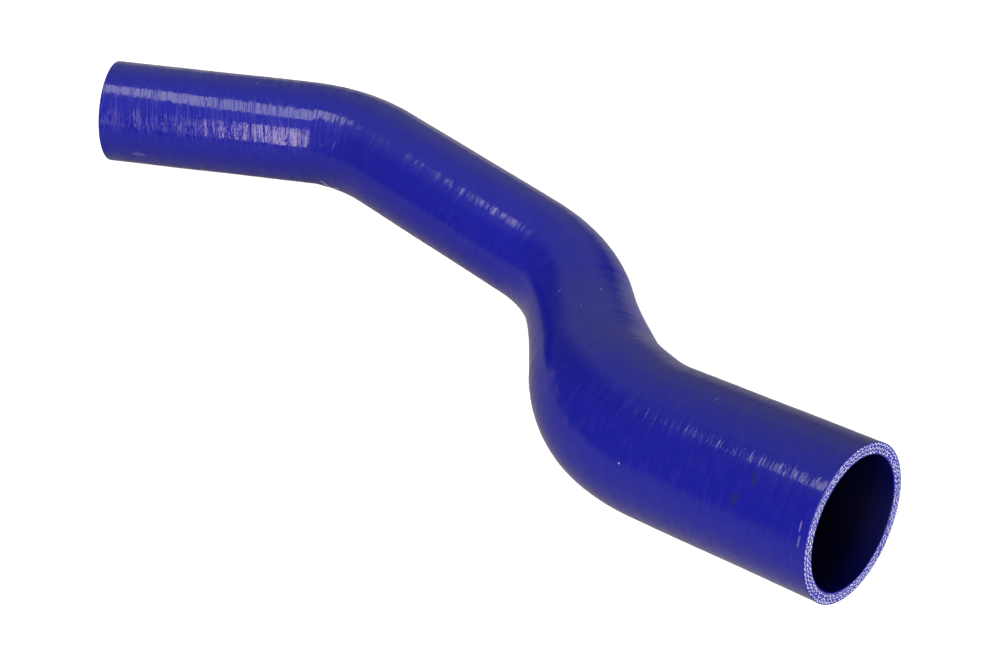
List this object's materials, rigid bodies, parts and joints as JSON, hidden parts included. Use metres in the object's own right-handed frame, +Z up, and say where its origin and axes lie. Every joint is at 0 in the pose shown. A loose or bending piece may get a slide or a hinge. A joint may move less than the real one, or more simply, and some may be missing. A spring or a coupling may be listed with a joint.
{
  "type": "silicone intercooler hose",
  "caption": "Preformed reinforced silicone hose with three bends that widens from a small socket end to a large one, for charge air between an intercooler and its pipework.",
  "frame": {"origin": "on the bench that the hose lies on, under the middle of its outline in plan", "axes": "+X along the small leg, from the small end face into the hose; +Y away from the side that the big leg turns to; +Z up from the bench"},
  "size_m": [0.3536, 0.2594, 0.0827],
  "materials": {
    "blue_silicone": "satin cured silicone with fine wrap marks round the hose"
  },
  "bodies": {
    "root": {"intercooler_hose": "blue_silicone"}
  },
  "joints": []
}
